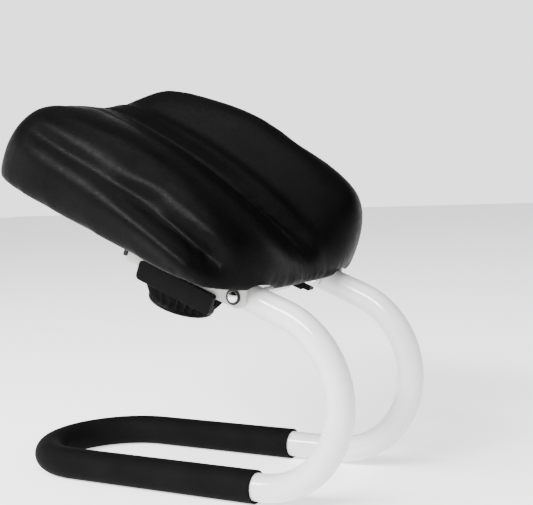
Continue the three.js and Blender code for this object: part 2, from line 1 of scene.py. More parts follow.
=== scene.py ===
"""Looks of a kneeling rocking stool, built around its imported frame.

The padded seat, its hem, the tube, the foam sleeve, the knob, the pivots and the spring are
modelled here as parametric surfaces. The plate and the blocks are copies of their frame
meshes with eased edges, and the other nodes keep their meshes. All materials are procedural.
Lengths are in metres unless a name says otherwise.

Seat places use the seat's own axes: BACK runs up the slope from the pivot, ACROSS is world Y,
and UP stands square to the seat.
"""

import json
import math

import bmesh
import bpy
import numpy as np
from mathutils import Matrix, Vector


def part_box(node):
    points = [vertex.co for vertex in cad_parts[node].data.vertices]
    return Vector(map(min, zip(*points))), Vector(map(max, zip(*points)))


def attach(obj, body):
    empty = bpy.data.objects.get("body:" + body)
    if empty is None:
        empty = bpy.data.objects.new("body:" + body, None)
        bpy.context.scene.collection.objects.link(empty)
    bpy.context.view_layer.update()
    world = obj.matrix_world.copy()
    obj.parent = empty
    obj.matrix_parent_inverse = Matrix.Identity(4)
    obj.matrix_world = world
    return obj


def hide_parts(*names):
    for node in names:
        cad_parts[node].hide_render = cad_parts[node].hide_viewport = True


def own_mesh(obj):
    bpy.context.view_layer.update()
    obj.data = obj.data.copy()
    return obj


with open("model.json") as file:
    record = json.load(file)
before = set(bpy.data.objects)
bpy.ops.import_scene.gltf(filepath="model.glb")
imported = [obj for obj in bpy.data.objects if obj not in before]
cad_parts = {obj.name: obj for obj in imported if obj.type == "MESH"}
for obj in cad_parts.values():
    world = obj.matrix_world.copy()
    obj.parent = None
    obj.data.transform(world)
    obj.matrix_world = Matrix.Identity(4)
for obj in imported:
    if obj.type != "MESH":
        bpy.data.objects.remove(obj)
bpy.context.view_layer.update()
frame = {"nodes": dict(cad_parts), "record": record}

bl_info = {
    "name": "Kneeling rocking stool",
    "version": (1, 0, 0),
    "blender": (4, 5, 0),
    "location": "View3D > Sidebar > Stool",
    "description": "Builds a padded kneeling stool on a bent tube frame",
    "category": "Add Mesh",
}

MM = 0.001

# ---- places taken from the frame ----------------------------------------------------

SEAT_TILT = math.radians(22.5)
SEAT_UP = (math.sin(SEAT_TILT), 0.0, math.cos(SEAT_TILT))
SIDES = ("right", "left")
LEG_OFFSET = 63.5 * MM


def node_middle(node):
    """The middle of a frame node's box."""
    low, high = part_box(node)
    return (low + high) / 2


PIVOT = node_middle("pivot_bolt_right")
TUBE_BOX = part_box("frame_tube")

# frame tube
TUBE_RADIUS = 11 * MM
TUBE_BORE = 9.5 * MM
BASE_HEIGHT = TUBE_BOX[0].z + TUBE_RADIUS
FRONT_BEND = 70 * MM
FRONT_BEND_X = 92.5 * MM
BACK_BEND_X = -97 * MM
LEG_PAST_PIVOT = 17 * MM
DRILL_RADIUS = 3.3 * MM
DRILL_LENGTH = 40 * MM

# foam sleeve
SLEEVE_RADIUS = 13.1 * MM
SLEEVE_END_RIGHT_X = 87 * MM
SLEEVE_END_LEFT_X = 47 * MM

# tension adjuster
ADJUSTER_BACK = 91 * MM
KNOB_TOP = -20 * MM
KNOB_BOTTOM = -58 * MM
KNOB_TOP_RADIUS = 43.5 * MM
KNOB_BOTTOM_RADIUS = 27.5 * MM
KNOB_HUB_RADIUS = 4.3 * MM
KNOB_WELL_RADIUS = 16 * MM
KNOB_DISC_RADIUS = 15.6 * MM
KNOB_FLUTES = 28
FLUTE_DEPTH = 0.1  # share of the radius
SPRING_WIRE = 1.2 * MM
SPRING_RADIUS = 8.6 * MM
SPRING_LOW = -6.3 * MM
SPRING_HIGH = 11 * MM
SPRING_TURNS = 3.5

# pivots
BOLT_RADIUS = 3 * MM
BOLT_HEAD_RADIUS = 4.6 * MM
BOLT_HEAD_HEIGHT = 2.8 * MM
WASHER_BORE = 3.3 * MM
WASHER_RADIUS = 6.2 * MM

# cushion outline and section
CUSHION_FRONT = -21 * MM
CUSHION_REAR = 253 * MM
CUSHION_WIDEST = 50 * MM
CUSHION_HALF_WIDTH = 124 * MM
CUSHION_REAR_HALF_WIDTH = 107 * MM
CUSHION_FRONT_POWER = 3.2
CUSHION_REAR_POWER = 8.0
CUSHION_BOTTOM = 6.5 * MM
LEG_CLEARANCE = 4.7 * MM  # how far the underside lifts over the legs
RECESS_INSET = 14.5 * MM
RECESS_TOP = 26.5 * MM
HEM_INSETS = (12, 25, 25, 12)  # mm, round the hem's section
HEM_HEIGHTS = (14.9, 14.9, 15.6, 15.6)
# height of the middle seam above the pivot, at stations up the slope (mm)
SEAM_STATIONS = (-17, 0, 55, 106, 165, 229, 250)
SEAM_HEIGHTS = (27, 34, 50, 62, 69, 79, 83)
# height of the hollow that runs along each side, at stations up the slope (mm)
HOLLOW_STATIONS = (-10, 6, 23, 44, 85, 127, 165, 240)
HOLLOW_HEIGHTS = (24, 30, 38, 44, 50, 54, 57, 60)
FOLD_RISE = 5 * MM
COVER_GRID = 4 * MM
COVER_STEPS = 20

# stage
CAMERA_PLACE = (0.52263, -0.75131, 0.25183)
CAMERA_YAW = 0.5452519
CAMERA_PITCH = 0.0714181
CAMERA_ROLL = -0.0461966
LENS_MM = 72.73
FLOOR_HALF = 6.0
LIGHT_TARGET = (0.0, 0.0, 0.2)
OVERHEAD_PLACE = (0.0, -0.2, 2.6)
KEY_PLACE = (-0.45, -1.75, 1.5)
WALL_GLOW = 2.3
CEILING_GLOW = 0.2


# ---- colours and nodes --------------------------------------------------------------


def linear(code):
    """Turns an sRGB hex colour into linear red, green and blue."""
    channels = [int(code[i : i + 2], 16) / 255 for i in (1, 3, 5)]
    return tuple(c / 12.92 if c <= 0.04045 else ((c + 0.055) / 1.055) ** 2.4 for c in channels)


def rgba(colour):
    """A colour as the four numbers that a node socket takes."""
    return (*tuple(colour)[:3], 1.0)


def add(tree, kind, links=None, **settings):
    """Adds a node. Links fill inputs by name, with a socket or a value; settings are properties."""
    node = tree.nodes.new(kind)
    for name, value in settings.items():
        setattr(node, name, value)
    for socket, value in (links or {}).items():
        if isinstance(value, bpy.types.NodeSocket):
            tree.links.new(value, node.inputs[socket])
        else:
            node.inputs[socket].default_value = value
    return node


def material(name, **surface):
    """A new material with one Principled surface, given as (material, tree, shader)."""
    made = bpy.data.materials.new(name)
    made.use_nodes = True
    tree = made.node_tree
    shader = tree.nodes["Principled BSDF"]
    for socket, value in surface.items():
        shader.inputs[socket.replace("_", " ")].default_value = value
    return made, tree, shader


def dress(tree, shader, colour, roughness, bump):
    """Joins a material's colour, roughness and bump to its surface."""
    for socket, value in (("Base Color", colour), ("Roughness", roughness), ("Normal", bump)):
        tree.links.new(value, shader.inputs[socket])


def scaled(colour, factor):
    """A colour made lighter or darker by a factor."""
    return tuple(c * factor for c in colour)


def place_of(tree):
    """The Object coordinate socket, in metres from the frame's origin."""
    return add(tree, "ShaderNodeTexCoord").outputs["Object"]


def noise(tree, size, detail=3.0, roughness=0.5, vector=None):
    """Noise whose blotches are about size metres across."""
    links = {"Vector": vector or place_of(tree), "Scale": 1 / size, "Detail": detail}
    links["Roughness"] = roughness
    return add(tree, "ShaderNodeTexNoise", links).outputs["Fac"]


def spread(tree, value, low, high, start=0.3, end=0.7):
    """Maps a value from start..end to low..high."""
    links = {"Value": value, "From Min": start, "From Max": end, "To Min": low, "To Max": high}
    return add(tree, "ShaderNodeMapRange", links).outputs["Result"]


def tint(tree, value, dark, light):
    """A colour between dark and light, by a value from 0 to 1."""
    ramp = add(tree, "ShaderNodeValToRGB", {"Fac": value})
    ramp.color_ramp.elements[0].color = rgba(dark)
    ramp.color_ramp.elements[0].position = 0.3
    ramp.color_ramp.elements[1].color = rgba(light)
    ramp.color_ramp.elements[1].position = 0.7
    return ramp.outputs["Color"]


def relief(tree, height, depth, under=None):
    """A bump of the given depth in metres, over the bump under it."""
    links = {"Height": height, "Distance": depth, "Strength": 1.0}
    if under:
        links["Normal"] = under
    return add(tree, "ShaderNodeBump", links).outputs["Normal"]


# ---- materials ----------------------------------------------------------------------


def grained_leatherette(colour):
    """Polyurethane-coated leatherette, pressed with a fine pebble grain: soft satin shine."""
    made, tree, shader = material(
        "grained_polyurethane_leatherette", IOR=1.5, Specular_IOR_Level=0.035
    )
    # pebbles of about 0.9 mm: finer ones on the real cloth would not show
    pebble = add(
        tree, "ShaderNodeTexVoronoi", {"Vector": place_of(tree), "Scale": 1 / (0.9 * MM)},
        feature="SMOOTH_F1",
    ).outputs["Distance"]
    creases = noise(tree, 5 * MM, 5.0, 0.62)
    cloud = noise(tree, 38 * MM, 2.0)
    shade = tint(tree, cloud, colour, scaled(colour, 1.8))
    fine = relief(tree, pebble, 0.05 * MM)
    bump = relief(tree, creases, 0.22 * MM, fine)
    dress(tree, shader, shade, spread(tree, creases, 0.36, 0.5), bump)
    return made


def gloss_powder_coat(colour):
    """White polyester powder coat, baked on steel: glossy, with a faint orange-peel skin."""
    made, tree, shader = material("gloss_white_powder_coat", IOR=1.5, Specular_IOR_Level=0.5)
    shader.inputs["Coat Weight"].default_value = 0.5
    shader.inputs["Coat Roughness"].default_value = 0.06
    peel = noise(tree, 1.6 * MM, 1.0)
    cloud = noise(tree, 45 * MM, 2.0)
    shade = tint(tree, cloud, scaled(colour, 0.96), colour)
    dress(tree, shader, shade, spread(tree, cloud, 0.2, 0.28), relief(tree, peel, 0.02 * MM))
    return made


def satin_powder_coat(colour):
    """Pale satin powder coat on pressed sheet: a fine sprayed texture and dull shine."""
    made, tree, shader = material("satin_pale_powder_coat", IOR=1.5, Specular_IOR_Level=0.45)
    spray = noise(tree, 0.7 * MM, 2.0)
    cloud = noise(tree, 30 * MM, 2.0)
    shade = tint(tree, cloud, scaled(colour, 0.9), colour)
    dress(tree, shader, shade, spread(tree, spray, 0.36, 0.5), relief(tree, spray, 0.03 * MM))
    return made


def closed_cell_foam(colour):
    """Extruded nitrile foam sleeve: a matt, slightly pitted skin."""
    made, tree, shader = material("extruded_nitrile_foam", IOR=1.5, Specular_IOR_Level=0.02)
    cells = noise(tree, 0.9 * MM, 3.0, 0.6)
    cloud = noise(tree, 26 * MM, 2.0)
    shade = tint(tree, cloud, colour, scaled(colour, 1.35))
    dress(tree, shader, shade, spread(tree, cells, 0.6, 0.78), relief(tree, cells, 0.07 * MM))
    return made


def moulded_plastic(colour):
    """Black nylon, injection moulded with a spark-eroded texture: dull and even."""
    made, tree, shader = material("moulded_black_nylon", IOR=1.53, Specular_IOR_Level=0.04)
    texture = noise(tree, 0.5 * MM, 3.0, 0.6)
    cloud = noise(tree, 18 * MM, 2.0)
    shade = tint(tree, cloud, colour, scaled(colour, 1.5))
    bump = relief(tree, texture, 0.035 * MM)
    dress(tree, shader, shade, spread(tree, texture, 0.34, 0.48), bump)
    return made


def steel_finish(name, colour, roughness, wear=0.04):
    """Plated or oiled steel, bright or dull by its roughness, with faint handling marks."""
    made, tree, shader = material(name, Metallic=1.0)
    cloud = noise(tree, 3 * MM, 4.0, 0.6)
    shade = tint(tree, cloud, scaled(colour, 0.86), colour)
    blur = spread(tree, cloud, roughness - wear, roughness + wear)
    dress(tree, shader, shade, blur, relief(tree, cloud, 0.012 * MM))
    return made


def chrome_plate():
    """Polished chrome plate on a domed bolt head: near-mirror."""
    return steel_finish("polished_chrome_plate", linear("#dcdcdd"), 0.13, 0.03)


def shade_dark_steel():
    """Dark grey steel as painted shade: for the shadow gap round each bright bolt head, and the
    shaded tick of the rear studs.
    """
    return steel_finish("dark_steel_painted_as_shade", linear("#2a2a2b"), 0.42)


def zinc_plate():
    """Bright zinc plate on nuts, washers and screws: a soft bluish grey shine."""
    return steel_finish("bright_zinc_plate", linear("#c3c6ca"), 0.34)


def spring_wire_steel():
    """Oiled spring wire, cold drawn: dark and half bright."""
    return steel_finish("oiled_drawn_spring_wire", linear("#6c6f74"), 0.3)


def turned_nylon():
    """Natural nylon, turned from rod: milky, waxy, with fine turning rings."""
    made, tree, shader = material("turned_natural_nylon", IOR=1.53, Roughness=0.42)
    rings = noise(tree, 0.6 * MM, 2.0)
    milk = tint(tree, rings, linear("#d2ccbb"), linear("#e3deca"))
    tree.links.new(milk, shader.inputs["Base Color"])
    tree.links.new(relief(tree, rings, 0.02 * MM), shader.inputs["Normal"])
    shader.inputs["Subsurface Weight"].default_value = 0.08
    shader.inputs["Subsurface Scale"].default_value = 2 * MM
    return made


def moulded_rubber():
    """Black rubber, compression moulded: dull with a slight bloom."""
    made, tree, shader = material("moulded_black_rubber", IOR=1.52, Specular_IOR_Level=0.35)
    bloom = noise(tree, 4 * MM, 4.0, 0.6)
    dusty = tint(tree, bloom, linear("#1b1b1b"), linear("#2b2b2a"))
    dress(tree, shader, dusty, spread(tree, bloom, 0.6, 0.78), relief(tree, bloom, 0.05 * MM))
    return made


def birch_plywood():
    """Birch plywood, sawn and sanded: pale with a long grain."""
    made, tree, shader = material("sanded_birch_plywood", IOR=1.5, Roughness=0.62)
    turned = add(
        tree, "ShaderNodeMapping",
        {"Vector": place_of(tree), "Rotation": (0, SEAT_TILT, 0), "Scale": (0.06, 1, 1)},
    ).outputs["Vector"]
    grain = noise(tree, 1.4 * MM, 5.0, 0.6, turned)
    wood = tint(tree, grain, linear("#b88e5c"), linear("#dcbd8c"))
    tree.links.new(wood, shader.inputs["Base Color"])
    tree.links.new(relief(tree, grain, 0.05 * MM), shader.inputs["Normal"])
    return made


def spunbond_lining():
    """Spunbonded polypropylene lining: thin black felt, dimpled by its bonding points."""
    made, tree, shader = material("spunbond_black_lining", IOR=1.5, Specular_IOR_Level=0.25)
    dimple = add(
        tree, "ShaderNodeTexVoronoi", {"Vector": place_of(tree), "Scale": 1 / (1.5 * MM)},
    ).outputs["Distance"]
    fibre = noise(tree, 1.2 * MM, 5.0, 0.7)
    felt = tint(tree, fibre, linear("#141414"), linear("#272727"))
    bump = relief(tree, dimple, 0.12 * MM, relief(tree, fibre, 0.05 * MM))
    dress(tree, shader, felt, spread(tree, fibre, 0.72, 0.9), bump)
    return made


def studio_floor(colour):
    """Back-lit frosted acrylic table: even, pale and softly glowing."""
    made, tree, shader = material("frosted_acrylic_table", Roughness=0.9, Specular_IOR_Level=0.1)
    shader.inputs["Emission Color"].default_value = (1.0, 1.0, 1.0, 1.0)
    shader.inputs["Emission Strength"].default_value = 1.1
    cloud = noise(tree, 0.6, 2.0)
    shade = tint(tree, cloud, scaled(colour, 0.985), colour)
    tree.links.new(shade, shader.inputs["Base Color"])
    return made


# ---- shapes -------------------------------------------------------------------------


def ease(value, start, end):
    """0 before start, 1 after end, and an S curve between them."""
    t = np.clip((value - start) / (end - start), 0, 1)
    return t * t * (3 - 2 * t)


def bell(value, middle, width):
    """A bell curve of height 1 round the middle."""
    return np.exp(-(((value - middle) / width) ** 2))


def seat_place(back, across, up):
    """World points for seat places: the seat axes turned by the tilt about the pivot."""
    back, across, up = np.broadcast_arrays(back, across, up)
    x = PIVOT.x - back * math.cos(SEAT_TILT) + up * math.sin(SEAT_TILT)
    z = PIVOT.z + back * math.sin(SEAT_TILT) + up * math.cos(SEAT_TILT)
    return np.stack([x, across, z], axis=-1)


def level_place(back, across, up):
    """Points in the seat's own axes, as if it lay level: x runs forward down the slope."""
    back, across, up = np.broadcast_arrays(back, across, up)
    return np.stack([-back, across, up], axis=-1)


def grid_faces(rows, columns, wrap_rows):
    """Quads of a grid whose columns wrap round, and whose rows may."""
    r = np.arange(rows if wrap_rows else rows - 1)[:, None]
    c = np.arange(columns)[None, :]
    r2 = (r + 1) % rows
    c2 = (c + 1) % columns
    corners = [r * columns + c, r * columns + c2, r2 * columns + c2, r2 * columns + c]
    return np.stack(corners, axis=-1).reshape(-1, 4)


def new_object(name, points, faces, finish=None):
    """A smooth mesh object from points and quads, its doubles merged and faces outward."""
    mesh = bpy.data.meshes.new(name)
    mesh.from_pydata(points.reshape(-1, 3).tolist(), [], faces.tolist())
    work = bmesh.new()
    work.from_mesh(mesh)
    bmesh.ops.remove_doubles(work, verts=work.verts, dist=0.002 * MM)
    bmesh.ops.dissolve_degenerate(work, edges=work.edges, dist=0.001 * MM)
    bmesh.ops.recalc_face_normals(work, faces=work.faces)
    work.to_mesh(mesh)
    work.free()
    mesh.shade_smooth()
    made = bpy.data.objects.new(name, mesh)
    bpy.context.collection.objects.link(made)
    if finish:
        mesh.materials.append(finish)
    return made


def hard_edges(made, angle=35):
    """Marks edges sharper than the angle, so flats and rounds shade apart."""
    made.data.set_sharp_from_angle(angle=math.radians(angle))
    return made


def apply_modifiers(made):
    """Bakes an object's modifiers into its mesh."""
    graph = bpy.context.evaluated_depsgraph_get()
    mesh = bpy.data.meshes.new_from_object(made.evaluated_get(graph), depsgraph=graph)
    old = made.data
    made.modifiers.clear()
    made.data = mesh
    mesh.name = made.name
    bpy.data.meshes.remove(old)


def vertex_places(mesh):
    """A mesh's vertices as an array."""
    flat = np.empty(len(mesh.vertices) * 3)
    mesh.vertices.foreach_get("co", flat)
    return flat.reshape(-1, 3)


def vertex_normals(mesh):
    """A mesh's vertex normals as an array."""
    flat = np.empty(len(mesh.vertices) * 3)
    mesh.vertex_normals.foreach_get("vector", flat)
    return flat.reshape(-1, 3)


def move_vertices(mesh, points):
    """Puts an array of places back into a mesh."""
    mesh.vertices.foreach_set("co", points.reshape(-1))
    mesh.update()


def lathe(name, profile, base, axis, finish, segments, flute=None):
    """A profile of (radius, height) turned about an axis through base.

    Place = base + axis * height + radius * (cos a * u + sin a * v); flute, if given, scales
    the radius by row and angle.
    """
    radius, height = np.array(profile, dtype=float).T
    angle = np.linspace(0, 2 * math.pi, segments, endpoint=False)
    axis = np.array(axis) / np.linalg.norm(axis)
    u = np.cross(axis, (0, 1, 0) if abs(axis[1]) < 0.9 else (1, 0, 0))
    u = u / np.linalg.norm(u)
    v = np.cross(axis, u)
    reach = np.repeat(radius[:, None], segments, axis=1)
    if flute is not None:
        reach = reach * flute(height[:, None], angle[None, :])
    ring = np.cos(angle)[None, :, None] * u + np.sin(angle)[None, :, None] * v
    points = np.array(base) + axis * height[:, None, None] + ring * reach[..., None]
    return new_object(name, points, grid_faces(len(radius), segments, False), finish)


def rounded(corners, radius, steps=4):
    """A polyline of (radius, height) corners with each inner corner rounded off."""
    corners = np.array(corners, dtype=float)
    out = [corners[:1]]
    for before, corner, after in zip(corners, corners[1:], corners[2:]):
        reach = min(
            radius, np.linalg.norm(before - corner) / 2.2, np.linalg.norm(after - corner) / 2.2
        )
        start = corner + (before - corner) / np.linalg.norm(before - corner) * reach
        end = corner + (after - corner) / np.linalg.norm(after - corner) * reach
        t = np.linspace(0, 1, steps + 1)[:, None]
        out.append((1 - t) ** 2 * start + 2 * t * (1 - t) * corner + t**2 * end)
    out.append(corners[-1:])
    return np.concatenate(out)


class FrameLine:
    """The tube's centre line, with two directions across it at every point.

    Legs and front bends lie in upright planes and the base loop lies flat; the first
    direction is Y crossed with the line on the legs and straight up on the loop.
    """

    def __init__(self):
        end = np.array([
            FRONT_BEND_X + FRONT_BEND * math.sin(SEAT_TILT),
            BASE_HEIGHT + FRONT_BEND + FRONT_BEND * math.cos(SEAT_TILT),
        ])
        tip = np.array([
            PIVOT.x - LEG_PAST_PIVOT * math.cos(SEAT_TILT),
            PIVOT.z + LEG_PAST_PIVOT * math.sin(SEAT_TILT),
        ])
        leg = tip + (end - tip) * np.linspace(0, 1, 12)[:, None]
        turn = np.linspace(math.pi / 2 - SEAT_TILT, -math.pi / 2, 90)[1:]
        bend = np.stack([
            FRONT_BEND_X + FRONT_BEND * np.cos(turn),
            BASE_HEIGHT + FRONT_BEND + FRONT_BEND * np.sin(turn),
        ], axis=-1)
        upright = np.concatenate([leg, bend])
        right = np.stack(
            [upright[:, 0], np.full(len(upright), -LEG_OFFSET), upright[:, 1]], axis=-1
        )
        run = np.linspace(FRONT_BEND_X, BACK_BEND_X, 30)[1:]
        base = np.stack(
            [run, np.full(len(run), -LEG_OFFSET), np.full(len(run), BASE_HEIGHT)], axis=-1
        )
        half = np.linspace(-math.pi / 2, -1.5 * math.pi, 100)[1:-1]
        loop = np.stack([
            BACK_BEND_X + LEG_OFFSET * np.cos(half),
            LEG_OFFSET * np.sin(half),
            np.full(len(half), BASE_HEIGHT),
        ], axis=-1)
        mirror = np.array([1, -1, 1])
        first = np.concatenate([right, base])
        self.points = np.concatenate([first, loop, first[::-1] * mirror])
        steps = np.linalg.norm(np.diff(self.points, axis=0), axis=1)
        self.length = np.concatenate([[0], np.cumsum(steps)])
        along = np.gradient(self.points, self.length, axis=0)
        along /= np.linalg.norm(along, axis=1)[:, None]
        count = len(right)
        across = np.tile(np.array([0.0, 0.0, 1.0]), (len(self.points), 1))
        across[:count] = np.cross((0, 1, 0), along[:count])
        across[-count:] = np.cross((0, -1, 0), along[-count:])
        self.along = along
        self.across = across / np.linalg.norm(across, axis=1)[:, None]

    def at(self, length, values):
        """Values along the line, read at the given lengths; the ends run on straight."""
        return np.stack([np.interp(length, self.length, values[:, i]) for i in range(3)], axis=-1)

    def skin(self, lengths, radii, sides):
        """Points of a round skin: centre + radius * (cos a * across + sin a * side)."""
        centre = self.at(lengths, self.points)
        along = self.at(lengths, self.along)
        across = self.at(lengths, self.across)
        across -= (across * along).sum(1)[:, None] * along
        across /= np.linalg.norm(across, axis=1)[:, None]
        side = np.cross(along, across)
        angle = np.linspace(0, 2 * math.pi, sides, endpoint=False)[None, :, None]
        ring = np.cos(angle) * across[:, None] + np.sin(angle) * side[:, None]
        return centre[:, None] + ring * np.asarray(radii)[:, None, None]


def hollow_skin(name, line, start, end, outer, inner, lip, finish, sides=64, step=2.5 * MM):
    """A closed tube wall along the line: out along the outer skin, back along the bore.

    The two cut ends are rounded by a quarter circle of the lip's radius.
    """
    turn = np.linspace(0, math.pi / 2, 5)
    count = int((end - start) / step)
    run = np.linspace(start + lip, end - lip, count)
    inside = np.linspace(end - lip, start + lip, count)
    near = start + lip - lip * np.cos(turn)
    far = end - lip + lip * np.sin(turn)
    lengths = np.concatenate([near, run[1:-1], far, far[::-1], inside[1:-1], near[::-1]])
    out_end = outer - lip + lip * np.sin(turn)
    in_end = inner + lip - lip * np.sin(turn)
    radii = np.concatenate([
        out_end, np.full(count - 2, outer), out_end[::-1],
        in_end, np.full(count - 2, inner), in_end[::-1],
    ])
    points = line.skin(lengths, radii, sides)
    return new_object(name, points, grid_faces(len(lengths), sides, True), finish)


# ---- cushion ------------------------------------------------------------------------


def cushion_outline(turn, inset):
    """The seat outline: two half super-ellipses that meet at the widest station.

    Ahead = reach * |cos|^(2/power), across = half width * |sin|^(2/power), where the half
    width narrows evenly to the rear.
    """
    ahead = np.cos(turn)
    side = np.sin(turn)
    front = ahead > 0
    power = np.where(front, 2 / CUSHION_FRONT_POWER, 2 / CUSHION_REAR_POWER)
    reach = np.where(front, CUSHION_WIDEST - CUSHION_FRONT, CUSHION_REAR - CUSHION_WIDEST)
    x = np.sign(ahead) * (reach - inset) * np.abs(ahead) ** power
    taper = CUSHION_HALF_WIDTH - CUSHION_REAR_HALF_WIDTH
    narrowing = np.where(front, 0, -x / reach * taper)
    y = np.sign(side) * (CUSHION_HALF_WIDTH - inset - narrowing) * np.abs(side) ** power
    return x, y


def cushion_top(back, across, sizes):
    """Height of the top: the seam's height, plus a lobe that rises on each side of it.

    The lobe on the +Y side starts with a low fold beside the seam.
    """
    seam = np.interp(back / MM, *smooth_table(SEAM_STATIONS, SEAM_HEIGHTS)) * MM
    rear = ease(back, 110 * MM, 245 * MM)
    near = sizes.lobe_rise * (1 - 0.62 * rear) * ease(-across, 0, 76 * MM)
    fold = FOLD_RISE * (1 - 0.5 * rear) * ease(across, 0, 24 * MM)
    far = (sizes.lobe_rise + sizes.lobe_difference - FOLD_RISE) * (1 - 0.35 * rear)
    far = far * ease(across, 20 * MM, 80 * MM)
    return seam + near + fold + far


def smooth_table(stations, heights):
    """A table made smooth: a quartic fitted to it, read at every millimetre."""
    fine = np.arange(stations[0], stations[-1] + 1.0)
    return fine, np.polyval(np.polyfit(stations, heights, 4), fine)


def cushion_shell(sizes):
    """The cushion before it swells: closed rings from the recess round the rim to the top.

    Height = bottom + (top - bottom) * (1 - (1 - d / R)^p)^(1/p), where d is the distance in
    from the outline, and R and p round the front tighter than the rear.
    """
    turn = np.linspace(0, 2 * math.pi, 360, endpoint=False)[None, :]
    edge_x, edge_y = cushion_outline(turn, 0)
    span = np.hypot(edge_x, edge_y)
    front = ease(np.cos(turn), 0.1, 0.9)
    rear = ease(-np.cos(turn), 0.1, 0.9)
    depth = np.linspace(0, 1, 60)[:, None] ** 1.7 * np.ones_like(turn)
    flank = ease(np.abs(edge_y), 20 * MM, 80 * MM)
    rounding = (44 - 10 * front + rear * (20 * flank - 12)) * MM
    power = 2.7 + 0.4 * front - 0.4 * rear * flank
    inward = depth * span
    crown = (1 - (1 - np.clip(inward / rounding, 0, 1)) ** power) ** (1 / power)
    share = 1 - depth
    back = CUSHION_WIDEST - edge_x * share
    across = edge_y * share
    lifted = cushion_lower_edge(back, across)
    top = cushion_top(back, across, sizes)
    foot = 3 * MM * bell(crown, 0, 0.25)
    draw_in = 1 - foot / np.maximum(span, 1e-6)
    back = CUSHION_WIDEST - (CUSHION_WIDEST - back) * draw_in
    upper = level_place(back, across * draw_in, lifted + (top - lifted) * crown)
    insets = np.array([5, 9, RECESS_INSET / MM, RECESS_INSET / MM])[:, None] * MM
    insets = insets * (1 - 0.35 * front)
    in_x, in_y = cushion_outline(turn, insets)
    under_back = CUSHION_WIDEST - in_x
    low = cushion_lower_edge(under_back, in_y)
    roof = np.array([0, 0, 0, 1])[:, None] > 0
    under = level_place(under_back, in_y, np.where(roof, RECESS_TOP, low))
    middle = level_place(
        np.full_like(turn, CUSHION_WIDEST), np.zeros_like(turn), np.full_like(turn, RECESS_TOP)
    )
    points = np.concatenate([middle, under[::-1], upper])
    return new_object("cushion", points, grid_faces(len(points), turn.size, False))


def cover_hem(finish):
    """The cover's hem, folded in flat: a thin ring that follows the outline, inset by inset."""
    turn = np.linspace(0, 2 * math.pi, 240, endpoint=False)[None, :]
    insets = np.array(HEM_INSETS)[:, None] * MM
    x, y = cushion_outline(turn, insets)
    heights = np.array(HEM_HEIGHTS)[:, None] * MM * np.ones_like(turn)
    points = seat_place(CUSHION_WIDEST - x, y, heights)
    return hard_edges(new_object("cover_hem", points, grid_faces(4, turn.size, True), finish))


def cushion_lower_edge(back, across):
    """Height of the underside: it lifts at the front, where the two legs pass under it."""
    reach = np.abs(across)
    over_legs = ease(reach, 48 * MM, 53 * MM) * (1 - ease(reach, 74 * MM, 79 * MM))
    return CUSHION_BOTTOM + LEG_CLEARANCE * over_legs * (1 - ease(back, 4 * MM, 16 * MM))


def swell(cushion, cap):
    """Blows the cover up a little as cloth over foam, with its underside held.

    The shell is remeshed and simulated; each vertex then moves by cap * tanh(move / cap), so
    it stays within cap of where it began.
    """
    remesh = cushion.modifiers.new("even faces", "REMESH")
    remesh.mode = "VOXEL"
    remesh.voxel_size = COVER_GRID
    apply_modifiers(cushion)
    mesh = cushion.data
    start = vertex_places(mesh)
    back, across, up = start.T * np.array([[-1], [1], [1]])
    recess = inside_outline(back, across, RECESS_INSET - 4 * MM) & (up < RECESS_TOP + 3 * MM)
    held = recess | (up < cushion_lower_edge(back, across) + 7 * MM)
    group = cushion.vertex_groups.new(name="held")
    group.add(np.flatnonzero(held).tolist(), 1.0, "REPLACE")
    cloth = cushion.modifiers.new("cover", "CLOTH")
    cloth.settings.quality = 5
    cloth.settings.mass = 0.4
    cloth.settings.tension_stiffness = 12
    cloth.settings.compression_stiffness = 12
    cloth.settings.bending_stiffness = 1.5
    cloth.settings.use_pressure = True
    cloth.settings.uniform_pressure_force = 4
    cloth.settings.vertex_group_mass = "held"
    cloth.settings.effector_weights.gravity = 0
    cloth.collision_settings.use_collision = False
    scene = bpy.context.scene
    for step in range(1, COVER_STEPS + 1):
        scene.frame_set(step)
    apply_modifiers(cushion)
    scene.frame_set(1)
    mesh = cushion.data
    move = vertex_places(mesh) - start
    length = np.linalg.norm(move, axis=1)[:, None]
    move *= cap * np.tanh(length / cap) / np.maximum(length, 1e-9)
    move_vertices(mesh, start + move)
    cushion.vertex_groups.clear()


def inside_outline(back, across, inset):
    """Whether a place lies inside the outline drawn in by the inset: its super-ellipse."""
    ahead = CUSHION_WIDEST - back
    front = ahead > 0
    power = np.where(front, CUSHION_FRONT_POWER, CUSHION_REAR_POWER)
    reach = np.where(front, CUSHION_WIDEST - CUSHION_FRONT, CUSHION_REAR - CUSHION_WIDEST)
    taper = CUSHION_HALF_WIDTH - CUSHION_REAR_HALF_WIDTH
    narrowing = np.where(front, 0, -ahead / reach * taper)
    half = CUSHION_HALF_WIDTH - inset - narrowing
    return np.abs(ahead / (reach - inset)) ** power + np.abs(across / half) ** power < 1


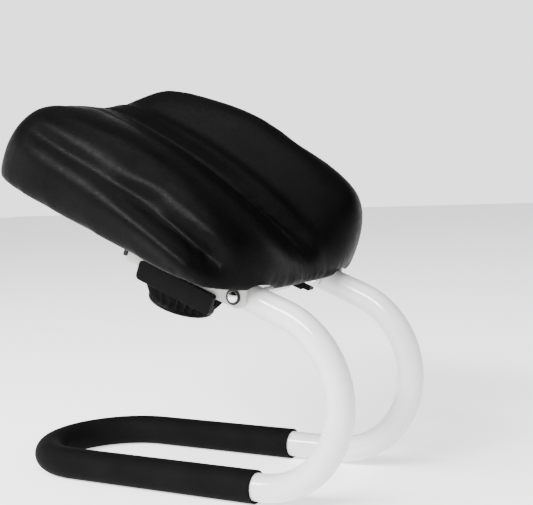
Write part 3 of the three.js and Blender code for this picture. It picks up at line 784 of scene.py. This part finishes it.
def draw_cover(cushion, sizes):
    """Draws in what tight stitching and pulling give the cover.

    A narrow seam along the middle, long folds beside it, a hollow along each side above
    the rim's roll, and small gathers along the lower front edge; each is a bell curve
    across its line, taken along the surface's normal.
    """
    mesh = cushion.data
    points = vertex_places(mesh)
    normals = vertex_normals(mesh)
    back, across, up = points.T * np.array([[-1], [1], [1]])
    side, rise = normals[:, 1], normals[:, 2]
    upward = ease(rise, 0.25, 0.75)
    sideways = ease(np.abs(side), 0.2, 0.7)
    # the middle seam wanders by a millimetre, and dies out near the rear edge
    wander = 1.2 * MM * np.sin(back / (31 * MM))
    along = ease(back, -14 * MM, 8 * MM) * (1 - 0.6 * ease(back, 190 * MM, 245 * MM))
    seam = -sizes.seam_depth * bell(across, wander, 2.6 * MM)
    seam += 0.45 * sizes.seam_depth * bell(across - wander, -7.5 * MM, 4.5 * MM)
    # long soft folds on both lobes, beside the seam
    fold = 1.1 * MM * bell(across, 21 * MM + 0.03 * back, 5.5 * MM)
    fold -= 0.9 * MM * bell(across, 33 * MM + 0.03 * back, 7 * MM)
    fold -= 0.8 * MM * bell(across, -26 * MM - 0.04 * back, 6 * MM)
    height = upward * along * (seam + fold)
    # the hollow along the sides, deepest near the front
    line = np.interp(back / MM, *smooth_table(HOLLOW_STATIONS, HOLLOW_HEIGHTS)) * MM
    deep = 0.3 + 0.7 * (1 - ease(back, 30 * MM, 130 * MM))
    deep *= ease(back, -14 * MM, 14 * MM) * (1 - ease(back, 190 * MM, 240 * MM))
    width = (7 + 3 * (1 - ease(back, 30 * MM, 130 * MM))) * MM
    height -= sizes.hollow_depth * deep * sideways * bell(up, line, width)
    height += 0.3 * sizes.hollow_depth * deep * sideways * bell(up, line - 17 * MM, 8 * MM)
    # gathers where the cover is pulled under the front edge
    edge = 1 - ease(up, CUSHION_BOTTOM + 3 * MM, CUSHION_BOTTOM + 24 * MM)
    ahead = 1 - ease(back, 10 * MM, 60 * MM)
    sway = np.arctan2(across, CUSHION_WIDEST - back)
    pleat = np.sin(sway * 46 + 1.7 * np.sin(sway * 9)) * 0.55 + np.sin(sway * 83 + 1) * 0.25
    outward = 1 - ease(np.abs(rise), 0.5, 0.9)
    height += 0.3 * MM * pleat * edge * ahead * outward
    x, y, z = (points + normals * height[:, None]).T
    move_vertices(mesh, seat_place(-x, y, z))


# ---- settings -----------------------------------------------------------------------


class StoolSizes(bpy.types.PropertyGroup):
    """Sizes of the padded seat that a user may change."""

    lobe_rise: bpy.props.FloatProperty(
        name="Lobe rise", description="Height of the side lobes above the middle seam",
        default=16 * MM, min=0, max=0.05, subtype="DISTANCE", unit="LENGTH",
    )
    lobe_difference: bpy.props.FloatProperty(
        name="Lobe difference", description="How much fuller the lobe on the left is",
        default=26 * MM, min=0, max=0.03, subtype="DISTANCE", unit="LENGTH",
    )
    seam_depth: bpy.props.FloatProperty(
        name="Seam depth", description="Depth of the stitched line along the middle",
        default=2.2 * MM, min=0, max=0.006, subtype="DISTANCE", unit="LENGTH",
    )
    hollow_depth: bpy.props.FloatProperty(
        name="Hollow depth", description="Depth of the hollow along each side of the seat",
        default=12 * MM, min=0, max=0.02, subtype="DISTANCE", unit="LENGTH",
    )
    swell: bpy.props.FloatProperty(
        name="Swell", description="How far the padded cover may swell from its cut shape",
        default=5 * MM, min=0, max=0.01, subtype="DISTANCE", unit="LENGTH",
    )


class StoolColours(bpy.types.PropertyGroup):
    """Colours of the finishes that a user may change."""

    cover: bpy.props.FloatVectorProperty(
        name="Cover", description="Colour of the leatherette cover", subtype="COLOR",
        default=linear("#030303"), min=0, max=1,
    )
    paint: bpy.props.FloatVectorProperty(
        name="Tube paint", description="Colour of the powder coat on the tube",
        subtype="COLOR", default=linear("#cfcfce"), min=0, max=1,
    )
    plate: bpy.props.FloatVectorProperty(
        name="Plate paint", description="Colour of the powder coat on the seat plate",
        subtype="COLOR", default=linear("#ababa9"), min=0, max=1,
    )
    foam: bpy.props.FloatVectorProperty(
        name="Foam", description="Colour of the foam sleeve", subtype="COLOR",
        default=linear("#0b0b0b"), min=0, max=1,
    )
    plastic: bpy.props.FloatVectorProperty(
        name="Plastic", description="Colour of the moulded plastic parts", subtype="COLOR",
        default=linear("#040404"), min=0, max=1,
    )
    floor: bpy.props.FloatVectorProperty(
        name="Floor", description="Colour of the studio floor", subtype="COLOR",
        default=linear("#f6f6f6"), min=0, max=1,
    )


# ---- operators ----------------------------------------------------------------------


class StoolCushion(bpy.types.Operator):
    """Builds the padded seat cushion and its leatherette cover"""

    bl_idname = "stool.cushion"
    bl_label = "Cushion"

    def execute(self, context):
        sizes = context.scene.stool_sizes
        cushion = cushion_shell(sizes)
        swell(cushion, sizes.swell)
        calm = cushion.modifiers.new("calm", "SMOOTH")
        calm.factor = 0.5
        calm.iterations = 20
        finer = cushion.modifiers.new("finer", "SUBSURF")
        finer.levels = 1
        finer.render_levels = 1
        apply_modifiers(cushion)
        draw_cover(cushion, sizes)
        cushion.data.shade_smooth()
        cushion.data.materials.clear()
        cushion.data.materials.append(grained_leatherette(context.scene.stool_colours.cover))
        hem = cover_hem(cushion.data.materials[0])
        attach(hem, "seat")
        stand_in(cushion, "seat_cushion", "seat")
        return {"FINISHED"}


class StoolTube(bpy.types.Operator):
    """Builds the bent steel tube with its drilled legs"""

    bl_idname = "stool.tube"
    bl_label = "Frame tube"

    def execute(self, context):
        line = FrameLine()
        paint = gloss_powder_coat(context.scene.stool_colours.paint)
        tube = hollow_skin(
            "bent_tube", line, 0, line.length[-1], TUBE_RADIUS, TUBE_BORE, 0.5 * MM, paint
        )
        drill_profile = [(0, 0), (DRILL_RADIUS, 0), (DRILL_RADIUS, DRILL_LENGTH), (0, DRILL_LENGTH)]
        for side in (-1, 1):
            base = (PIVOT.x, side * LEG_OFFSET - DRILL_LENGTH / 2, PIVOT.z)
            drill = lathe("drill", drill_profile, base, (0, 1, 0), None, 24)
            cut = tube.modifiers.new("drilled", "BOOLEAN")
            cut.operation = "DIFFERENCE"
            cut.object = drill
            apply_modifiers(tube)
            bpy.data.objects.remove(drill)
        hard_edges(tube, 40)
        stand_in(tube, "frame_tube", "frame")
        finish_nodes(paint, "tie_bar", "spring_arm")
        return {"FINISHED"}


class StoolSleeve(bpy.types.Operator):
    """Builds the foam sleeve on the base loop, with soft cut ends"""

    bl_idname = "stool.sleeve"
    bl_label = "Foam sleeve"

    def execute(self, context):
        line = FrameLine()
        base = np.abs(line.points[:, 2] - BASE_HEIGHT) < 0.01 * MM
        right = base & (line.points[:, 1] < 0)
        left = base & (line.points[:, 1] > 0)
        start = np.interp(-SLEEVE_END_RIGHT_X, -line.points[right, 0], line.length[right])
        end = np.interp(SLEEVE_END_LEFT_X, line.points[left, 0], line.length[left])
        foam = closed_cell_foam(context.scene.stool_colours.foam)
        sleeve = hollow_skin(
            "sleeve", line, start, end, SLEEVE_RADIUS, TUBE_RADIUS + 0.1 * MM, 0.9 * MM, foam
        )
        stand_in(sleeve, "foam_sleeve", "frame")
        return {"FINISHED"}


class StoolKnob(bpy.types.Operator):
    """Builds the fluted tension knob and its cap"""

    bl_idname = "stool.knob"
    bl_label = "Tension knob"

    def execute(self, context):
        plastic = moulded_plastic(context.scene.stool_colours.plastic)
        base = seat_place(ADJUSTER_BACK, 0.0, 0.0)
        top, low = KNOB_TOP, KNOB_BOTTOM
        wide, slim = KNOB_TOP_RADIUS, KNOB_BOTTOM_RADIUS
        hub, well = KNOB_HUB_RADIUS, KNOB_WELL_RADIUS
        outside = [
            (hub, low + 10 * MM), (well, low + 10 * MM), (well, low), (slim - 2 * MM, low),
            (slim + 1 * MM, low + 1 * MM), (slim + 1.6 * MM, low + 3.4 * MM),
            (slim + 1 * MM, low + 4.2 * MM), (slim + 6.5 * MM, low + 13 * MM),
            (wide - 4.2 * MM, top - 14 * MM), (wide - 1.2 * MM, top - 6.5 * MM),
            (wide, top - 5.5 * MM),
            (wide, top), (wide - 6 * MM, top), (wide - 6.5 * MM, top - 5 * MM),
            (slim - 6 * MM, low + 14 * MM), (hub, low + 14 * MM), (hub, low + 10 * MM),
        ]

        def flute(height, angle):
            """Scales the radius: rounded notches between the two plain rims."""
            belt = ease(height, low + 4 * MM, low + 7 * MM)
            belt = belt * (1 - ease(height, top - 10 * MM, top - 7 * MM))
            wave = 0.5 - 0.5 * np.cos(angle * KNOB_FLUTES)
            outer = np.arange(len(height))[:, None] < inner_start
            return 1 - FLUTE_DEPTH * belt * wave**0.6 * outer

        profile = rounded(outside, 0.9 * MM)
        rows = [profile[0]]
        for before, after in zip(profile, profile[1:]):
            parts = max(1, int(np.linalg.norm(after - before) / (1.6 * MM)))
            rows += [before + (after - before) * i / parts for i in range(1, parts + 1)]
        rows = np.array(rows)
        inner_start = int(np.argmax(rows[:, 1] > top - 0.1 * MM))
        knob = lathe("fluted_knob", rows, base, SEAT_UP, plastic, KNOB_FLUTES * 12, flute)
        hard_edges(knob, 50)
        stand_in(knob, "tension_knob", "knob")
        disc = KNOB_DISC_RADIUS
        cap_profile = rounded(
            [(0, low + 1 * MM), (disc, low + 1 * MM), (disc, low + 3 * MM), (0, low + 3 * MM)],
            0.5 * MM,
        )
        cap = lathe("knob_disc", cap_profile, base, SEAT_UP, plastic, 72)
        stand_in(cap, "knob_cap", "knob")
        return {"FINISHED"}


class StoolBlocks(bpy.types.Operator):
    """Finishes the two moulded side blocks with chamfered edges"""

    bl_idname = "stool.blocks"
    bl_label = "Side blocks"

    def execute(self, context):
        plastic = moulded_plastic(context.scene.stool_colours.plastic)
        for side in SIDES:
            edged_copy(
                f"side_block_{side}", f"block_{side}", plastic, 0.5 * MM, 1
            )
        return {"FINISHED"}


class StoolPivots(bpy.types.Operator):
    """Builds the domed pivot bolts and the washers under their heads"""

    bl_idname = "stool.pivots"
    bl_label = "Pivots"

    def execute(self, context):
        chrome = chrome_plate()
        # the washers are painted dark as shade, standing in for the shadow gap round each bolt head
        black = shade_dark_steel()
        base = (PIVOT.x, 0, PIVOT.z)
        turn = np.linspace(0, math.pi / 2, 12)
        for side, sign in zip(SIDES, (-1, 1)):
            node = f"pivot_bolt_{side}"
            inner, face = reach_across(node)
            seat = face - BOLT_HEAD_HEIGHT
            dome = [BOLT_HEAD_RADIUS * np.cos(turn), seat + BOLT_HEAD_HEIGHT * np.sin(turn)]
            shank = [(0, inner), (BOLT_RADIUS - 0.4 * MM, inner), (BOLT_RADIUS, inner + 0.4 * MM)]
            shank += [(BOLT_RADIUS, seat), (BOLT_HEAD_RADIUS - 0.1 * MM, seat)]
            profile = np.concatenate([np.array(shank), np.stack(dome, axis=-1)])
            bolt = lathe(f"domed_bolt_{side}", profile, base, (0, sign, 0), chrome, 48)
            hard_edges(bolt, 40)
            stand_in(bolt, node, frame_body(node))
            node = f"pivot_washer_{side}"
            near, far = reach_across(node)
            ring = rounded(
                [(WASHER_BORE, near), (WASHER_RADIUS, near), (WASHER_RADIUS, far),
                 (WASHER_BORE, far), (WASHER_BORE, near)], 0.2 * MM,
            )
            washer = lathe(f"washer_{side}", ring, base, (0, sign, 0), black, 48)
            hard_edges(washer, 40)
            stand_in(washer, node, frame_body(node))
        return {"FINISHED"}


class StoolSpring(bpy.types.Operator):
    """Builds the round-wire compression spring over the knob"""

    bl_idname = "stool.spring"
    bl_label = "Tension spring"

    def execute(self, context):
        t = np.linspace(0, 1, 260)
        # end coils lie flat: the pitch eases in and out
        climb = ease(t, 0.06, 0.94) * 0.5 + t * 0.5
        angle = 2 * math.pi * SPRING_TURNS * t
        height = SPRING_LOW + (SPRING_HIGH - SPRING_LOW) * climb
        centre = seat_place(
            ADJUSTER_BACK - SPRING_RADIUS * np.cos(angle), SPRING_RADIUS * np.sin(angle), height
        )
        along = np.gradient(centre, axis=0)
        along /= np.linalg.norm(along, axis=1)[:, None]
        side = np.cross(along, SEAT_UP)
        side /= np.linalg.norm(side, axis=1)[:, None]
        rise = np.cross(side, along)
        turn = np.linspace(0, 2 * math.pi, 16, endpoint=False)[None, :, None]
        ring = np.cos(turn) * side[:, None] + np.sin(turn) * rise[:, None]
        points = centre[:, None] + ring * SPRING_WIRE
        first = np.repeat(centre[:1], 16, axis=0)[None]
        last = np.repeat(centre[-1:], 16, axis=0)[None]
        points = np.concatenate([first, points, last])
        spring = new_object(
            "wire_spring", points, grid_faces(len(points), 16, False), spring_wire_steel()
        )
        hard_edges(spring, 50)
        stand_in(spring, "tension_spring", frame_body("tension_spring"))
        anchor = seat_place(ADJUSTER_BACK, 0.0, SPRING_LOW - SPRING_WIRE).tolist()
        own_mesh(spring)
        return {"FINISHED"}


class StoolFittings(bpy.types.Operator):
    """Finishes the plate, board, lining, buffers, nuts and screws that keep their meshes"""

    bl_idname = "stool.fittings"
    bl_label = "Plate and fittings"

    def execute(self, context):
        colours = context.scene.stool_colours
        plate_paint = satin_powder_coat(colours.plate)
        edged_copy("seat_plate", "pressed_plate", plate_paint, 0.35 * MM, 3)
        corners = [f"{side}_{end}" for side in SIDES for end in ("front", "rear")]
        zinc = zinc_plate()
        finish_nodes(zinc, "arm_nut", "adjuster_spindle", "spring_cup", "knob_nut")
        finish_nodes(zinc, "stop_bolt", "stop_nut")
        for kind in ("block_screw", "board_screw", "board_nut"):
            finish_nodes(zinc, *[f"{kind}_{corner}" for corner in corners])
        pairs = {
            "pivot_nut": zinc,
            "pivot_bush": turned_nylon(),
            "stop_buffer": moulded_rubber(),
            # the rear studs take the same dark steel: painted shade, copying their shaded dark tick
            "rear_stud": shade_dark_steel(),
        }
        for kind, finish in pairs.items():
            finish_nodes(finish, *[f"{kind}_{side}" for side in SIDES])
        finish_nodes(birch_plywood(), "seat_board")
        finish_nodes(spunbond_lining(), "dust_cover")
        return {"FINISHED"}


def reach_across(node):
    """How far a frame node's near and far faces lie from the middle plane."""
    return sorted(abs(corner.y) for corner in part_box(node))


def frame_body(node):
    """The body that a frame node rides on."""
    for name, nodes in frame["record"]["behaviour"]["bodies"].items():
        if node in (nodes if isinstance(nodes, list) else nodes.get("nodes", [])):
            return name
    raise RuntimeError(f"no body holds {node}")


def stand_in(made, node, body):
    """Hangs a finished piece on its body and hides the frame node it stands in for."""
    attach(made, body)
    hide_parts(node)


def finish_nodes(finish, *nodes):
    """Gives frame nodes one material."""
    for name in nodes:
        mesh = frame["nodes"][name].data
        mesh.materials.clear()
        mesh.materials.append(finish)


def edged_copy(node, name, finish, width, segments):
    """Stands a merged copy in for a seat node, its sharp edges cut by a bevel of some segments."""
    mesh = frame["nodes"][node].data.copy()
    mesh.name = name
    work = bmesh.new()
    work.from_mesh(mesh)
    bmesh.ops.remove_doubles(work, verts=work.verts, dist=0.01 * MM)
    flat = math.radians(1)
    bmesh.ops.dissolve_limit(work, angle_limit=flat, verts=work.verts, edges=work.edges)
    work.to_mesh(mesh)
    work.free()
    made = bpy.data.objects.new(name, mesh)
    bpy.context.collection.objects.link(made)
    mesh.materials.clear()
    mesh.materials.append(finish)
    edge = made.modifiers.new("eased edges", "BEVEL")
    edge.width = width
    edge.segments = segments
    edge.limit_method = "ANGLE"
    edge.angle_limit = math.radians(32)
    apply_modifiers(made)
    made.data.shade_smooth()
    hard_edges(made, 32)
    stand_in(made, node, "seat")


class StoolStage(bpy.types.Operator):
    """Lays the pale floor, the soft studio lights and the camera"""

    bl_idname = "stool.stage"
    bl_label = "Floor, lights and camera"

    def execute(self, context):
        floor_paint = studio_floor(context.scene.stool_colours.floor)
        signs = ((-1, -1), (1, -1), (1, 1), (-1, 1))
        corners = [(x * FLOOR_HALF, y * FLOOR_HALF, 0) for x, y in signs]
        mesh = bpy.data.meshes.new("studio_floor")
        mesh.from_pydata(corners, [], [(0, 1, 2, 3)])
        mesh.materials.append(floor_paint)
        floor = bpy.data.objects.new("studio_floor", mesh)
        bpy.context.collection.objects.link(floor)
        world = bpy.data.worlds.new("studio_air")
        context.scene.world = world
        world.use_nodes = True
        studio_air(world.node_tree)
        soft_light("overhead", OVERHEAD_PLACE, 1.8, 1.8, 45)
        soft_light("key", KEY_PLACE, 2.2, 0.35, 190)
        eye = bpy.data.cameras.new("studio_camera")
        eye.sensor_width = 36
        eye.lens = LENS_MM
        camera = bpy.data.objects.new("studio_camera", eye)
        bpy.context.collection.objects.link(camera)
        camera.matrix_world = camera_matrix()
        context.scene.camera = camera
        return {"FINISHED"}


def studio_air(tree):
    """White walls that fade to a dimmer ceiling: brightness falls with height."""
    way = add(tree, "ShaderNodeTexCoord").outputs["Generated"]
    height = add(tree, "ShaderNodeSeparateXYZ", {"Vector": way}).outputs["Z"]
    strength = spread(tree, height, WALL_GLOW, CEILING_GLOW, 0.16, 0.36)
    air = tree.nodes["Background"]
    air.inputs["Color"].default_value = rgba(linear("#fbfcfc"))
    tree.links.new(strength, air.inputs["Strength"])


def soft_light(name, place, length, width, watts):
    """A rectangular area light that faces the stool, its length level."""
    lamp = bpy.data.lights.new(name, "AREA")
    lamp.shape = "RECTANGLE"
    lamp.size = length
    lamp.size_y = width
    lamp.energy = watts
    made = bpy.data.objects.new(name, lamp)
    bpy.context.collection.objects.link(made)
    made.location = place
    ahead = Vector(LIGHT_TARGET) - Vector(place)
    made.rotation_euler = ahead.to_track_quat("-Z", "Y").to_euler()


def camera_matrix():
    """The camera's place and turn from its yaw, pitch and roll."""
    sy, cy = math.sin(CAMERA_YAW), math.cos(CAMERA_YAW)
    sp, cp = math.sin(CAMERA_PITCH), math.cos(CAMERA_PITCH)
    sr, cr = math.sin(CAMERA_ROLL), math.cos(CAMERA_ROLL)
    ahead = Vector((-sy * cp, cy * cp, -sp))
    right = Vector((cy, sy, 0))
    up = right.cross(ahead)
    turned_right = right * cr + up * sr
    turned_up = up * cr - right * sr
    turn = Matrix((turned_right, turned_up, -ahead)).transposed().to_4x4()
    return Matrix.Translation(CAMERA_PLACE) @ turn


OPERATORS = (
    StoolCushion, StoolTube, StoolSleeve, StoolKnob, StoolBlocks, StoolPivots, StoolSpring,
    StoolFittings, StoolStage,
)


class StoolPanel(bpy.types.Panel):
    """Lists the stool's pieces in the sidebar"""

    bl_idname = "VIEW3D_PT_stool"
    bl_label = "Kneeling rocking stool"
    bl_space_type = "VIEW_3D"
    bl_region_type = "UI"
    bl_category = "Stool"

    def draw(self, context):
        for settings in (context.scene.stool_sizes, context.scene.stool_colours):
            for name in settings.bl_rna.properties.keys():
                if name not in {"rna_type", "name"}:
                    self.layout.prop(settings, name)
        for operator in OPERATORS:
            self.layout.operator(operator.bl_idname)


CLASSES = (StoolSizes, StoolColours, *OPERATORS, StoolPanel)


def register():
    """Registers the classes and the scene's settings."""
    for item in CLASSES:
        bpy.utils.register_class(item)
    bpy.types.Scene.stool_sizes = bpy.props.PointerProperty(type=StoolSizes)
    bpy.types.Scene.stool_colours = bpy.props.PointerProperty(type=StoolColours)


def unregister():
    """Takes the settings and classes away again."""
    del bpy.types.Scene.stool_colours
    del bpy.types.Scene.stool_sizes
    for item in reversed(CLASSES):
        bpy.utils.unregister_class(item)


def main():
    """Builds every piece."""
    register()
    bpy.ops.stool.cushion()
    bpy.ops.stool.tube()
    bpy.ops.stool.sleeve()
    bpy.ops.stool.knob()
    bpy.ops.stool.blocks()
    bpy.ops.stool.pivots()
    bpy.ops.stool.spring()
    bpy.ops.stool.fittings()
    bpy.ops.stool.stage()


if __name__ == "__main__":
    main()
